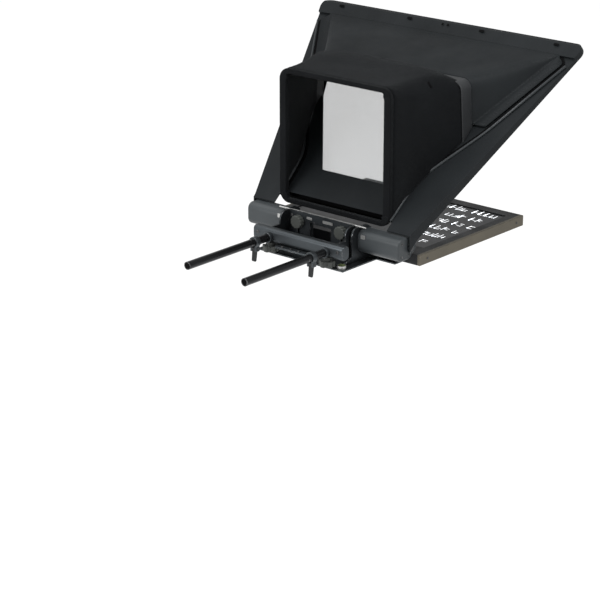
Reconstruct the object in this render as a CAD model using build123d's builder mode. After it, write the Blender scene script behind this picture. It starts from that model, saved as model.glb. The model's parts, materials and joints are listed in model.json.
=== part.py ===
"""Studio teleprompter: rail carriage, prompt monitor and folding beam-splitter hood.

Frame: origin midway between the two support rods, on the plane of their rear ends.
+Y runs along the rods from the camera towards the presenter, +X to the camera
operator's right, +Z up.  Millimetres.
"""
from build123d import *
from math import cos, radians, sin
import os

# ---------------------------------------------------------------- support rods
ROD_D = 19.0
ROD_WALL = 2.0
ROD_X = 86.5            # each rod's distance from the middle
ROD_LENGTH = 300.0
ROD_JOINT_Y = 210.0     # joint line where the front and rear rod lengths screw together
RUNNING = 0.05          # radial running clearance of shafts and rods
AIR = 0.3               # gap between separate bodies

# ---------------------------------------------------------------- carriage
BRIDGE_X, BRIDGE_Y0, BRIDGE_T = 58.0, 264.0, 4.0
BEAM_X, BEAM_Y0, BEAM_Y1, BEAM_Z0, BEAM_Z1 = 136.0, 278.0, 303.0, -13.0, 20.0
CLAMP_Y0, CLAMP_Y1, CLAMP_W, CLAMP_Z0 = 222.0, 235.0, 18.0, -22.0
CLAMP_WALL = 3.5
LEVER_Z = -16.0         # cam lever pin, below the rod
LEVER_LENGTH, LEVER_W, LEVER_PIN_R = 27.0, 8.4, 2.5
LEVER_Y = (CLAMP_Y0 + CLAMP_Y1) / 2
HAND_KNOB_Y, HAND_KNOB_D, HAND_KNOB_T = 284.0, 39.0, 14.0
HAND_KNOB_Z1 = -21.0    # top of the knob's grip
ARM_X, ARM_T = 97.5, 4.0
SLIDE_PLATE_Y, SLIDE_PLATE_T = 362.0, 4.0
SLOT_W, SLOT_TRAVEL = 8.6, 40.0
LOCK_X, LOCK_Z, LOCK_D, LOCK_T = 66.0, 23.0, 32.0, 13.0
STUD_D = 8.0

# ---------------------------------------------------------------- head
PLATE_T = 3.0
BASE_Z = -42.0          # underside of the base plate
BASE_NECK_X, BASE_TRAY_X = 131.0, 186.0
BASE_Y0, BASE_TRAY_Y0, BASE_TRAY_Y1 = 286.0, 409.0, 700.0
LIFT_Y = SLIDE_PLATE_Y + SLIDE_PLATE_T + AIR
CHEEK_X, CHEEK_T = 107.0, 4.0
CHEEK_Y0 = 343.0
HOUSING_X0, HOUSING_X1, HOUSING_R = 112.0, 231.5, 27.0
HOUSING_Y, HOUSING_Z = 390.0, 9.0
HOUSING_WALL = 3.0

# ---------------------------------------------------------------- monitor
MON_X, MON_Y0, MON_Y1 = 246.0, 426.0, 834.0
MON_Z0, MON_Z1 = -37.0, -11.0
RAIL_W = 8.0            # side bands of the monitor's case
MON_INNER_X = MON_X - RAIL_W
MON_DEPTH = MON_Y1 - MON_Y0
MON_MID_Y = (MON_Y0 + MON_Y1) / 2
SCREEN_X, SCREEN_Y0, SCREEN_Y1 = 216.0, 478.0, 802.0
SCREEN_MID_Y = (SCREEN_Y0 + SCREEN_Y1) / 2
BACK_T, BEZEL_T, LCD_T = 2.5, 2.0, 12.0
VESA = 100.0            # square screw pattern under the monitor
VENT_OFFSET = 120.0
BOARD_Z, BOARD_T = MON_Z0 + 6.0, 1.6
SCALER_CENTRE, SUPPLY_CENTRE = (-80.0, MON_MID_Y + 20.0), (90.0, MON_MID_Y + 20.0)
BUTTON_R, BUTTON_Y, BUTTON_Z, BUTTON_POCKET = 5.0, MON_Y0 + 60.0, MON_Z0 + 13.0, 6.5

# ---------------------------------------------------------------- hood
TILT = 43.0             # glass plane above the horizontal
HINGE_Y, HINGE_Z = 408.0, 8.0
SHAFT_D = 12.0
BUSH_R = 8.0            # outside radius of the shaft's bronze bushes
SKIN = 3.0
HOOD_N0 = -2.0          # glass-side face of the hood, measured from the hinge axis
HOOD_FOOT_X, HOOD_TOP_X = 239.5, 398.0
HOOD_FOOT_S, HOOD_TOP_S, HOOD_LIP_S = 20.0, 600.0, 611.0
HOOD_CORNER_R = 24.0
SKIN_FOOT_Y, SKIN_FOOT_Z = 395.0, 42.0
SKIN_TOP_N = 7.0
RAIL_TOP_N, RAIL_FOOT_S = 15.4, 566.0
WINDOW = ((97, 129), (226, 332), (296, 527))    # half-width and height of the light opening
NOTCH_X, NOTCH_S = 172.0, 50.0
GLASS_T = 3.0
GLASS_N = -1.6
FUNNEL_TOP = (344.0, 812.0, 404.0)
FUNNEL_NECK = (223.0, 640.0, 361.0)
FUNNEL_FOOT = (231.0, 640.0, 236.0)
FLANGE = ((230.0, 641.0), (264.0, 634.0), (367.0, 797.0), (362.0, 811.0), (341.0, 811.0))   # (x, y) in plan
FLANGE_T = 3.0
COLLAR_Y0 = 600.0
RIM_Y0, RIM_T, RIM_X, RIM_Z0, RIM_Z1 = 408.0, 12.0, 168.0, 42.0, 371.0
RIM_BAND, RIM_R = 21.0, 28.0
FABRIC_T = 3.0

hood_plane = Plane(
    origin=(0, HINGE_Y, HINGE_Z),
    x_dir=(1, 0, 0),
    z_dir=(0, -sin(radians(TILT)), cos(radians(TILT))),
)


def hood_yz(s, n):
    """World (y, z) of a point s up the hood's slope and n off the hinge axis plane."""
    c, k = cos(radians(TILT)), sin(radians(TILT))
    return (HINGE_Y + s * c - n * k, HINGE_Z + s * k + n * c)


SKIN_TOP_YZ = hood_yz(HOOD_TOP_S, SKIN_TOP_N)
SKIN_SLOPE = (SKIN_TOP_YZ[1] - SKIN_FOOT_Z) / (SKIN_TOP_YZ[0] - SKIN_FOOT_Y)


def skin_z(y):
    """Height of the hood skin's camera-side surface at y."""
    return SKIN_FOOT_Z + SKIN_SLOPE * (y - SKIN_FOOT_Y)


def skin_length(y):
    """Distance up the hood skin from its foot to y."""
    return (y - SKIN_FOOT_Y) * (1 + SKIN_SLOPE ** 2) ** 0.5


def above_skin(gap):
    """Plane that lies gap above the hood skin, facing away from it."""
    return Plane(
        origin=(0, SKIN_FOOT_Y, SKIN_FOOT_Z + gap),
        x_dir=(1, 0, 0),
        z_dir=(0, -SKIN_SLOPE, 1),
    )


def mirrored(points):
    """Closed outline from its right-hand points, bottom to top."""
    return [*points, *[(-x, y) for x, y in reversed(points)]]


def end_plane(x, y, z=0.0):
    """Upright plane that faces along +Y, centred on (x, y, z)."""
    return Plane(origin=(x, y, z), x_dir=(1, 0, 0), z_dir=(0, 1, 0))


def side_plane(x, y=0.0, z=0.0):
    """Upright plane that faces along +X, with y to the right and z up."""
    return Plane(origin=(x, y, z), x_dir=(0, 1, 0), z_dir=(1, 0, 0))


parts = {}


def keep(name, builder):
    """Label a finished piece and remember it for export."""
    builder.part.label = name
    parts[name] = builder.part


# ================================================================ support rods
def make_rod(name, x):
    with BuildPart() as rod:
        with BuildSketch(end_plane(x, 0)):
            Circle(ROD_D / 2)
            Circle(ROD_D / 2 - ROD_WALL, mode=Mode.SUBTRACT)
        extrude(amount=ROD_LENGTH)
        with BuildSketch(end_plane(x, ROD_JOINT_Y)):
            Circle(ROD_D / 2 + 1)
            Circle(ROD_D / 2 - 0.5, mode=Mode.SUBTRACT)
        extrude(amount=1.0, mode=Mode.SUBTRACT)
    keep(name, rod)


def make_rod_plugs():
    spigot = 12.0
    with BuildPart() as plugs:
        for x in (-ROD_X, ROD_X):
            for y in (0, ROD_LENGTH - spigot):
                with BuildSketch(end_plane(x, y)):
                    Circle(ROD_D / 2 - ROD_WALL)
                extrude(amount=spigot)
    keep("rod_end_plugs", plugs)


# ================================================================ carriage
def make_bridge():
    """Stiffening plate screwed under the cross beam, between the rods."""
    with BuildPart() as bridge:
        with BuildSketch(Plane.XY.offset(BEAM_Z0 - BRIDGE_T)):
            with Locations((0, (BRIDGE_Y0 + BEAM_Y1) / 2)):
                Rectangle(2 * BRIDGE_X, BEAM_Y1 - BRIDGE_Y0)
        extrude(amount=BRIDGE_T)
        fillet(bridge.edges().filter_by(Axis.Z).group_by(Axis.Y)[0], 4)
    keep("rod_bridge", bridge)


def make_beam():
    height = BEAM_Z1 - BEAM_Z0
    rod_plane = end_plane(0, BEAM_Y0)
    with BuildPart() as beam:
        with BuildSketch(side_plane(-BEAM_X)):
            with Locations(((BEAM_Y0 + BEAM_Y1) / 2, (BEAM_Z0 + BEAM_Z1) / 2)):
                RectangleRounded(BEAM_Y1 - BEAM_Y0, height, 9)
        extrude(amount=2 * BEAM_X)
        chamfer(beam.faces().sort_by(Axis.X)[0].edges() + beam.faces().sort_by(Axis.X)[-1].edges(), 1.5)
        with BuildSketch(rod_plane):
            with Locations((-ROD_X, 0), (ROD_X, 0)):
                Circle(ROD_D / 2 + RUNNING)
        extrude(amount=BEAM_Y1 - BEAM_Y0, mode=Mode.SUBTRACT)
        with BuildSketch(Plane.XY.offset(BEAM_Z0)):
            with Locations((-ROD_X, HAND_KNOB_Y), (ROD_X, HAND_KNOB_Y)):
                Circle(STUD_D / 2 + RUNNING)
        extrude(amount=5, mode=Mode.SUBTRACT)
    keep("cross_beam", beam)


def make_rod_clamp(name, x):
    """Split ring round the rod's joint, with two cheeks below for the lever."""
    ring_r = ROD_D / 2 + CLAMP_WALL
    with BuildPart() as clamp:
        with BuildSketch(end_plane(x, CLAMP_Y0)):
            Circle(ring_r)
            with Locations((0, -CLAMP_Z0 / 2)):
                Rectangle(CLAMP_W, -CLAMP_Z0)
            Circle(ROD_D / 2, mode=Mode.SUBTRACT)
            with Locations((0, -CLAMP_Z0)):
                Rectangle(LEVER_W + 2 * AIR, -2 * CLAMP_Z0, mode=Mode.SUBTRACT)
            Circle(ROD_D / 2, mode=Mode.SUBTRACT)
        extrude(amount=CLAMP_Y1 - CLAMP_Y0)
        with BuildSketch(side_plane(x, LEVER_Y, LEVER_Z)):
            Circle(LEVER_PIN_R)
        extrude(amount=CLAMP_W, both=True, mode=Mode.SUBTRACT)
    keep(name, clamp)


def make_clamp_lever(name, x):
    hub_r, tip_r = 6.0, 4.0
    with BuildPart() as lever:
        with BuildSketch(side_plane(x, LEVER_Y, LEVER_Z)):
            Circle(hub_r)
            with BuildLine():
                Polyline((-5, 0), (-7, -LEVER_LENGTH), (1, -LEVER_LENGTH), (5, 0), close=True)
            make_face()
            with Locations((-3, -LEVER_LENGTH)):
                Circle(tip_r)
            Circle(LEVER_PIN_R + RUNNING, mode=Mode.SUBTRACT)
        extrude(amount=LEVER_W / 2, both=True)
    keep(name, lever)


def make_lever_pins():
    with BuildPart() as pins:
        for x in (-ROD_X, ROD_X):
            with BuildSketch(side_plane(x, LEVER_Y, LEVER_Z)):
                Circle(LEVER_PIN_R)
            extrude(amount=CLAMP_W / 2, both=True)
    keep("lever_pins", pins)


def make_rod_collars():
    length = 9.0
    with BuildPart() as collars:
        for x in (-ROD_X, ROD_X):
            origin = (x, BEAM_Y0 - length, 0)
            with BuildSketch(Plane(origin=origin, x_dir=(1, 0, 0), z_dir=(0, 1, 0))):
                Circle(ROD_D / 2 + 3.2)
                Circle(ROD_D / 2 + RUNNING, mode=Mode.SUBTRACT)
            extrude(amount=length)
    keep("rod_collars", collars)


def make_hand_knob(name, x):
    lobes, lobe_r = 6, 5.0
    with BuildPart() as knob:
        with BuildSketch(Plane(origin=(x, HAND_KNOB_Y, HAND_KNOB_Z1 - HAND_KNOB_T))):
            Circle(HAND_KNOB_D / 2)
            with PolarLocations(HAND_KNOB_D / 2 + 1.5, lobes):
                Circle(lobe_r, mode=Mode.SUBTRACT)
        extrude(amount=HAND_KNOB_T)
        fillet(knob.faces().sort_by(Axis.Z)[0].edges(), 2)
        with BuildSketch(Plane(origin=(x, HAND_KNOB_Y, HAND_KNOB_Z1))):
            Circle(8)
        extrude(amount=BEAM_Z0 - AIR - HAND_KNOB_Z1)
        with BuildSketch(Plane(origin=(x, HAND_KNOB_Y, BEAM_Z0 - AIR))):
            Circle(STUD_D / 2)
        extrude(amount=AIR + 3)
    keep(name, knob)


def make_slide_arm(name, side):
    with BuildPart() as arm:
        with BuildSketch(side_plane(side * ARM_X)):
            with BuildLine():
                Polyline(
                    (BEAM_Y1, BEAM_Z0 + 3), (331, BEAM_Z0 + 3), (331, -34), (SLIDE_PLATE_Y, -34),
                    (SLIDE_PLATE_Y, 46), (331, 46), (331, BEAM_Z1 - 3), (BEAM_Y1, BEAM_Z1 - 3), close=True,
                )
            make_face()
        extrude(amount=side * ARM_T)
        fillet(arm.edges().filter_by(Axis.X).group_by(Axis.Z)[-1].sort_by(Axis.Y)[0], 20)
        fillet(arm.edges().filter_by(Axis.X).group_by(Axis.Z)[0].sort_by(Axis.Y)[0], 10)
    keep(name, arm)


def make_slide_plate():
    height, z_mid = 82.0, 6.0
    with BuildPart() as plate:
        with BuildSketch(Plane(origin=(0, SLIDE_PLATE_Y, 0), x_dir=(-1, 0, 0), z_dir=(0, 1, 0))):
            with Locations((0, z_mid)):
                RectangleRounded(2 * (ARM_X + ARM_T), height, 4)
            with Locations((-LOCK_X, LOCK_Z - SLOT_TRAVEL / 2), (LOCK_X, LOCK_Z - SLOT_TRAVEL / 2)):
                SlotOverall(SLOT_TRAVEL + SLOT_W, SLOT_W, rotation=90, mode=Mode.SUBTRACT)
            with Locations((0, z_mid)):
                RectangleRounded(64, 44, 6, mode=Mode.SUBTRACT)
        extrude(amount=SLIDE_PLATE_T)
    keep("slide_plate", plate)


def make_bridge_screws():
    head_r, head_h = 3.2, 2.2
    with BuildPart() as screws:
        for x in (-38, -12, 12, 38):
            top = (x, BRIDGE_Y0 + 6.5, BEAM_Z0)
            with BuildSketch(Plane(origin=top)):
                Circle(head_r)
            extrude(amount=head_h)
            with BuildSketch(Plane(origin=(top[0], top[1], BEAM_Z0 + head_h))):
                RegularPolygon(1.6, 6)
            extrude(amount=-1.4, mode=Mode.SUBTRACT)
    keep("bridge_screws", screws)


# ================================================================ head
def make_base_plate():
    with BuildPart() as plate:
        with BuildSketch(Plane.XY.offset(BASE_Z)):
            with Locations((0, (BASE_Y0 + BASE_TRAY_Y0 + 40) / 2)):
                Rectangle(2 * BASE_NECK_X, BASE_TRAY_Y0 + 40 - BASE_Y0)
            with Locations((0, (BASE_TRAY_Y0 + BASE_TRAY_Y1) / 2)):
                Rectangle(2 * BASE_TRAY_X, BASE_TRAY_Y1 - BASE_TRAY_Y0)
            with Locations((0, 560)):
                with GridLocations(220, 150, 2, 2):
                    SlotOverall(110, 60, mode=Mode.SUBTRACT)
        extrude(amount=PLATE_T)
        fillet(plate.edges().filter_by(Axis.Z).group_by(Axis.Y)[-1], 12)
        with BuildSketch(Plane.XY.offset(BASE_Z)):
            with Locations((0, MON_MID_Y)):
                with GridLocations(VESA, VESA, 2, 2):
                    Circle(2.25)
        extrude(amount=PLATE_T, mode=Mode.SUBTRACT)
    keep("base_plate", plate)


def make_lift_plate():
    z0, z1 = BASE_Z + PLATE_T, 44.0
    with BuildPart() as plate:
        with BuildSketch(Plane(origin=(0, LIFT_Y, 0), x_dir=(-1, 0, 0), z_dir=(0, 1, 0))):
            with Locations((0, (z0 + z1) / 2)):
                Rectangle(2 * CHEEK_X, z1 - z0)
            with Locations((0, 4)):
                RectangleRounded(58, 36, 6, mode=Mode.SUBTRACT)
            with Locations((-LOCK_X, LOCK_Z), (LOCK_X, LOCK_Z)):
                Circle(STUD_D / 2 + RUNNING, mode=Mode.SUBTRACT)
        extrude(amount=4)
    keep("lift_plate", plate)
    with BuildPart() as strip:
        with BuildSketch(Plane(origin=(0, LIFT_Y, z1), x_dir=(1, 0, 0), z_dir=(0, 0, 1))):
            with Locations((0, 2)):
                Rectangle(2 * 132, 4)
        extrude(amount=3)
        chamfer(strip.edges().filter_by(Axis.X).group_by(Axis.Z)[-1], 0.8)
    keep("lift_strip", strip)


def make_cheek(name, side):
    z0 = BASE_Z + PLATE_T
    with BuildPart() as cheek:
        with BuildSketch(side_plane(side * CHEEK_X)):
            with BuildLine():
                Polyline(
                    (CHEEK_Y0 - 22, z0), (414, z0), (414, 34), (398, 44), (CHEEK_Y0, 44),
                    (CHEEK_Y0, z0 + 16), (CHEEK_Y0 - 22, z0 + 5), close=True,
                )
            make_face()
            with Locations((HINGE_Y, HINGE_Z)):
                Circle(SHAFT_D / 2 + RUNNING, mode=Mode.SUBTRACT)
        extrude(amount=side * CHEEK_T)
        fillet(cheek.edges().filter_by(Axis.X).group_by(Axis.Z)[-1].sort_by(Axis.Y)[0], 20)
    keep(name, cheek)


def make_housing(name, side):
    """Rounded hinge housing, hollow, with a bearing wall at each end."""
    inner = HOUSING_R - HOUSING_WALL
    with BuildPart() as housing:
        with BuildSketch(side_plane(side * HOUSING_X0)):
            with Locations((HOUSING_Y, HOUSING_Z)):
                RectangleRounded(2 * HOUSING_R, 2 * HOUSING_R, 16)
        extrude(amount=side * (HOUSING_X1 - HOUSING_X0))
        outer_end = housing.faces().sort_by(Axis.X)[-1 if side > 0 else 0]
        fillet(outer_end.edges(), 5)
        with BuildSketch(side_plane(side * (HOUSING_X0 + 6))):
            with Locations((HOUSING_Y, HOUSING_Z)):
                RectangleRounded(2 * inner, 2 * inner, 13)
        extrude(amount=side * (HOUSING_X1 - HOUSING_X0 - 12), mode=Mode.SUBTRACT)
        with BuildSketch(side_plane(side * HOUSING_X0)):
            with Locations((HINGE_Y, HINGE_Z)):
                Circle(BUSH_R)
        extrude(amount=side * (HOUSING_X1 - HOUSING_X0), mode=Mode.SUBTRACT)
    keep(name, housing)


def make_hinge_bushes():
    with BuildPart() as bushes:
        for side in (-1, 1):
            for x in (HOUSING_X0, HOUSING_X1 - 6):
                origin = (side * x, HINGE_Y, HINGE_Z)
                with BuildSketch(Plane(origin=origin, x_dir=(0, 1, 0), z_dir=(1, 0, 0))):
                    Circle(BUSH_R)
                    Circle(SHAFT_D / 2 + RUNNING, mode=Mode.SUBTRACT)
                extrude(amount=side * 6)
    keep("hinge_bushes", bushes)


def make_friction_discs():
    with BuildPart() as discs:
        for side in (-1, 1):
            for step in range(5):
                origin = (side * (HOUSING_X0 + 30 + 4 * step), HINGE_Y, HINGE_Z)
                with BuildSketch(Plane(origin=origin, x_dir=(0, 1, 0), z_dir=(1, 0, 0))):
                    with Locations((-14, 0)):
                        Rectangle(40, 12)
                    Circle(8.4, mode=Mode.SUBTRACT)
                    with Locations((-34, 0)):
                        Rectangle(10, 14, mode=Mode.SUBTRACT)
                    Circle(5)
                    Circle(SHAFT_D / 2 + RUNNING, mode=Mode.SUBTRACT)
                extrude(amount=side * 2)
    keep("friction_discs", discs)


def make_level():
    x, y = 114.0, 303.0
    with BuildPart() as body:
        with BuildSketch(Plane(origin=(x, y, BASE_Z + PLATE_T))):
            Circle(11)
        extrude(amount=7)
        with BuildSketch(Plane(origin=(x, y, BASE_Z + PLATE_T + 7))):
            Circle(8.5)
        extrude(amount=-4, mode=Mode.SUBTRACT)
    keep("level_body", body)
    with BuildPart() as vial:
        with BuildSketch(Plane(origin=(x, y, BASE_Z + PLATE_T + 3))):
            Circle(8.5)
        extrude(amount=5)
        fillet(vial.faces().sort_by(Axis.Z)[-1].edges(), 1.5)
    keep("level_vial", vial)


def make_lock_knob(name, x):
    flutes = 12
    face_y = SLIDE_PLATE_Y - AIR - LOCK_T
    with BuildPart() as knob:
        with BuildSketch(Plane(origin=(x, face_y, LOCK_Z), x_dir=(1, 0, 0), z_dir=(0, 1, 0))):
            Circle(LOCK_D / 2)
            with PolarLocations(LOCK_D / 2 + 0.8, flutes):
                Circle(2.2, mode=Mode.SUBTRACT)
        extrude(amount=LOCK_T)
        chamfer(knob.faces().sort_by(Axis.Y)[0].edges(), 1.2)
    keep(name, knob)


def make_lock_stud(name, x):
    with BuildPart() as stud:
        with BuildSketch(Plane(origin=(x, SLIDE_PLATE_Y - AIR, LOCK_Z), x_dir=(1, 0, 0), z_dir=(0, 1, 0))):
            Circle(STUD_D / 2)
        extrude(amount=AIR + SLIDE_PLATE_T + AIR + 4)
    keep(name, stud)


# ================================================================ monitor
def grid_holes(spacing, radius):
    """Four holes or discs on a square pattern, at the current location."""
    with GridLocations(spacing, spacing, 2, 2):
        Circle(radius)


def make_back_cover_plate():
    with BuildPart() as cover:
        with BuildSketch(Plane.XY.offset(MON_Z0)):
            with Locations((0, MON_MID_Y)):
                Rectangle(2 * MON_INNER_X, MON_DEPTH - 2 * RAIL_W)
        extrude(amount=BACK_T)
        with BuildSketch(Plane.XY.offset(MON_Z0)):
            with Locations((0, MON_MID_Y)):
                grid_holes(VESA, 2)
            with Locations((0, MON_MID_Y + VENT_OFFSET)):
                with GridLocations(14, 1, 18, 1):
                    SlotOverall(40, 4, rotation=90)
        extrude(amount=BACK_T, mode=Mode.SUBTRACT)
    keep("monitor_back_cover", cover)


def make_side_rail(name, side):
    with BuildPart() as rail:
        with BuildSketch(Plane.XY.offset(MON_Z0)):
            with Locations((side * (MON_X - RAIL_W / 2), MON_MID_Y)):
                Rectangle(RAIL_W, MON_DEPTH)
        extrude(amount=MON_Z1 - MON_Z0)
        outer = rail.faces().sort_by(Axis.X)[-1 if side > 0 else 0]
        chamfer(outer.edges().filter_by(Axis.Y), 0.8)
        if side < 0:
            with BuildSketch(side_plane(-MON_X - 1, BUTTON_Y, BUTTON_Z)):
                Circle(BUTTON_R + AIR)
            extrude(amount=BUTTON_POCKET, mode=Mode.SUBTRACT)
    keep(name, rail)


def make_cross_rail(name, y):
    with BuildPart() as rail:
        with BuildSketch(Plane.XY.offset(MON_Z0)):
            with Locations((0, y + RAIL_W / 2)):
                Rectangle(2 * MON_INNER_X, RAIL_W)
        extrude(amount=MON_Z1 - MON_Z0)
    keep(name, rail)


def make_bezel():
    with BuildPart() as bezel:
        with BuildSketch(Plane.XY.offset(MON_Z1 - BEZEL_T)):
            with Locations((0, MON_MID_Y)):
                Rectangle(2 * MON_INNER_X, MON_DEPTH - 2 * RAIL_W)
            with Locations((0, SCREEN_MID_Y)):
                Rectangle(2 * SCREEN_X, SCREEN_Y1 - SCREEN_Y0, mode=Mode.SUBTRACT)
        extrude(amount=BEZEL_T)
        reach_x, reach_y = MON_INNER_X - 1, MON_DEPTH / 2 - RAIL_W - 1
        window_edges = bezel.edges().group_by(Axis.Z)[-1].filter_by(
            lambda edge: abs(edge.center().X) < reach_x and abs(edge.center().Y - MON_MID_Y) < reach_y
        )
        chamfer(window_edges, 0.9)
    keep("monitor_bezel", bezel)


def make_lcd_panel():
    lap = 6.0
    with BuildPart() as panel:
        with BuildSketch(Plane.XY.offset(MON_Z1 - BEZEL_T - LCD_T)):
            with Locations((0, SCREEN_MID_Y)):
                Rectangle(2 * (SCREEN_X + lap), SCREEN_Y1 - SCREEN_Y0 + 2 * lap)
        extrude(amount=LCD_T)
    keep("lcd_panel", panel)


def make_board(name, centre, size, chips, chip_size, chip_t):
    """Circuit board with rectangular chips; chips gives each one's offset from the centre."""
    with BuildPart() as board:
        with BuildSketch(Plane.XY.offset(BOARD_Z)):
            with Locations(centre):
                Rectangle(*size)
        extrude(amount=BOARD_T)
        with BuildSketch(Plane.XY.offset(BOARD_Z + BOARD_T)):
            with Locations(*[(centre[0] + x, centre[1] + y) for x, y in chips]):
                Rectangle(*chip_size)
        extrude(amount=chip_t)
    keep(name, board)


def make_board_spacers():
    with BuildPart() as spacers:
        with BuildSketch(Plane.XY.offset(MON_Z0 + BACK_T)):
            with Locations(SCALER_CENTRE, SUPPLY_CENTRE):
                with GridLocations(84, 70, 2, 2):
                    Circle(3)
        extrude(amount=BOARD_Z - MON_Z0 - BACK_T)
    keep("board_spacers", spacers)


def make_power_button():
    stand, length = 2.0, 5.0
    with BuildPart() as button:
        with BuildSketch(side_plane(-MON_X - stand, BUTTON_Y, BUTTON_Z)):
            Circle(BUTTON_R)
        extrude(amount=length)
        fillet(button.faces().sort_by(Axis.X)[0].edges(), 0.8)
    keep("power_button", button)


def make_rail_screws():
    from_corner = 28.0
    with BuildPart() as screws:
        for side in (-1, 1):
            for y in (MON_Y0 + from_corner, MON_Y1 - from_corner):
                with BuildSketch(side_plane(side * MON_X, y, BUTTON_Z)):
                    Circle(2.6)
                extrude(amount=side * 1.0)
    keep("rail_screws", screws)


def make_monitor_fixings():
    with BuildPart() as screws:
        with Locations(Location((0, MON_MID_Y, BASE_Z))):
            with GridLocations(VESA, VESA, 2, 2):
                Cylinder(4, 2.2, align=(Align.CENTER, Align.CENTER, Align.MAX))
                Cylinder(1.9, 7, align=(Align.CENTER, Align.CENTER, Align.MIN))
    keep("vesa_screws", screws)
    with BuildPart() as pads:
        with BuildSketch(Plane.XY.offset(BASE_Z + PLATE_T)):
            with Locations((0, MON_MID_Y)):
                grid_holes(VESA, 8)
                with GridLocations(VESA, VESA, 2, 2):
                    Circle(2.3, mode=Mode.SUBTRACT)
        extrude(amount=MON_Z0 - BASE_Z - PLATE_T)
    keep("monitor_standoffs", pads)


# ================================================================ hood
def hood_outline(inset=0.0):
    """Right-hand outline points of the hood in (x, s), bottom to top."""
    slope = (HOOD_TOP_X - HOOD_FOOT_X) / (HOOD_TOP_S - HOOD_FOOT_S)
    lip_x = HOOD_TOP_X + slope * (HOOD_LIP_S - HOOD_TOP_S)
    return [
        (HOOD_FOOT_X - inset, -60),
        (HOOD_FOOT_X - inset, HOOD_FOOT_S),
        (lip_x - inset, HOOD_LIP_S - inset),
    ]


def side_profile(inset=0.0):
    """Closed side view of the hood shell in (y, z)."""
    foot_y = SKIN_FOOT_Y - 5 * inset
    return [
        (foot_y, skin_z(foot_y) - inset),
        hood_yz(RAIL_FOOT_S + inset, SKIN_TOP_N + 1.4 - inset),
        hood_yz(RAIL_FOOT_S + inset, RAIL_TOP_N - inset),
        hood_yz(HOOD_TOP_S - inset / 2, RAIL_TOP_N - inset),
        hood_yz(HOOD_LIP_S, SKIN_TOP_N - inset),
        hood_yz(HOOD_LIP_S, HOOD_N0 - 4 * inset),
        (foot_y, 2 - 5 * inset),
    ]


def hood_block(inset=0.0):
    """The hood's outside shape as a solid, shrunk by inset."""
    span, reach = 420.0, 200.0
    with BuildPart() as block:
        with BuildSketch(side_plane(-span)):
            with BuildLine():
                Polyline(*side_profile(inset), close=True)
            make_face()
        extrude(amount=2 * span)
        with BuildSketch(hood_plane.offset(-80)) as outline:
            with BuildLine():
                Polyline(*mirrored(hood_outline(inset)), close=True)
            make_face()
            fillet(outline.vertices().group_by(Axis.Z)[-1], HOOD_CORNER_R - inset)
        extrude(amount=reach, mode=Mode.INTERSECT)
    return block.part


def make_hood_shell():
    with BuildPart() as hood:
        add(hood_block())
        add(hood_block(SKIN), mode=Mode.SUBTRACT)
        with BuildSketch(hood_plane.offset(-40)):
            with BuildLine():
                Polyline(*mirrored([(x, s) for x, s in WINDOW]), close=True)
            make_face()
            with Locations((0, NOTCH_S - 50)):
                Rectangle(2 * NOTCH_X, 100)
        extrude(amount=100, mode=Mode.SUBTRACT)
    keep("hood_shell", hood)


def make_glass():
    slope = (HOOD_TOP_X - HOOD_FOOT_X) / (HOOD_TOP_S - HOOD_FOOT_S)
    foot_s, top_s, inset = 62.0, 588.0, 20.0
    points = [(HOOD_FOOT_X + slope * (s - HOOD_FOOT_S) - inset, s) for s in (foot_s, top_s)]
    with BuildPart() as glass:
        with BuildSketch(hood_plane.offset(GLASS_N)):
            with BuildLine():
                Polyline(*mirrored(points), close=True)
            make_face()
        extrude(amount=GLASS_T)
    keep("beam_splitter_glass", glass)
    for name, side in (("left_glass_channel", -1), ("right_glass_channel", 1)):
        channel_s = (126.0, top_s - 4)
        edge_x = [HOOD_FOOT_X + slope * (s - HOOD_FOOT_S) - inset for s in channel_s]
        outline = [
            (side * (edge_x[0] - 6), channel_s[0]), (side * (edge_x[0] + 14), channel_s[0]),
            (side * (edge_x[1] + 14), channel_s[1]), (side * (edge_x[1] - 6), channel_s[1]),
        ]
        with BuildPart() as channel:
            with BuildSketch(hood_plane.offset(GLASS_N + GLASS_T + 0.1)):
                with BuildLine():
                    Polyline(*outline, close=True)
                make_face()
            extrude(amount=1.8)
        keep(name, channel)
    with BuildPart() as ledge:
        with BuildSketch(hood_plane.offset(HOOD_N0)):
            with Locations((0, foot_s - 5)):
                Rectangle(2 * points[0][0] - 8, 9.6)
        extrude(amount=11)
    keep("glass_ledge", ledge)


def make_funnel():
    top_x, top_y, top_z = FUNNEL_TOP
    neck_x, neck_y, neck_z = FUNNEL_NECK
    foot_x, foot_y, foot_z = FUNNEL_FOOT
    gap = 0.2
    with BuildPart() as funnel:
        with BuildSketch(side_plane(-420)):
            with BuildLine():
                Polyline(
                    (neck_y, neck_z), (top_y, top_z), (top_y, skin_z(top_y) + gap),
                    (neck_y, skin_z(neck_y) + gap), close=True,
                )
            make_face()
        extrude(amount=840)
        for side in (-1, 1):
            top = Vector(side * top_x, top_y, top_z)
            neck = Vector(side * neck_x, neck_y, neck_z)
            foot = Vector(side * foot_x, foot_y, foot_z)
            normal = (top - foot).cross(neck - foot)
            if normal.X * side < 0:
                normal = -normal
            split(bisect_by=Plane(origin=foot, z_dir=normal), keep=Keep.BOTTOM)
        openings = [
            funnel.faces().sort_by(Axis.Y)[0],
            funnel.faces().filter_by(lambda face: face.normal_at().dot(Vector(0, SKIN_SLOPE, -1)) > 1)[0],
        ]
        offset(amount=-SKIN, openings=openings)
        for side in (-1, 1):
            with BuildSketch(above_skin(gap)):
                with BuildLine():
                    Polyline(*[(side * x, skin_length(y)) for x, y in FLANGE], close=True)
                make_face()
            extrude(amount=FLANGE_T)
    keep("back_cover", funnel)


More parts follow.
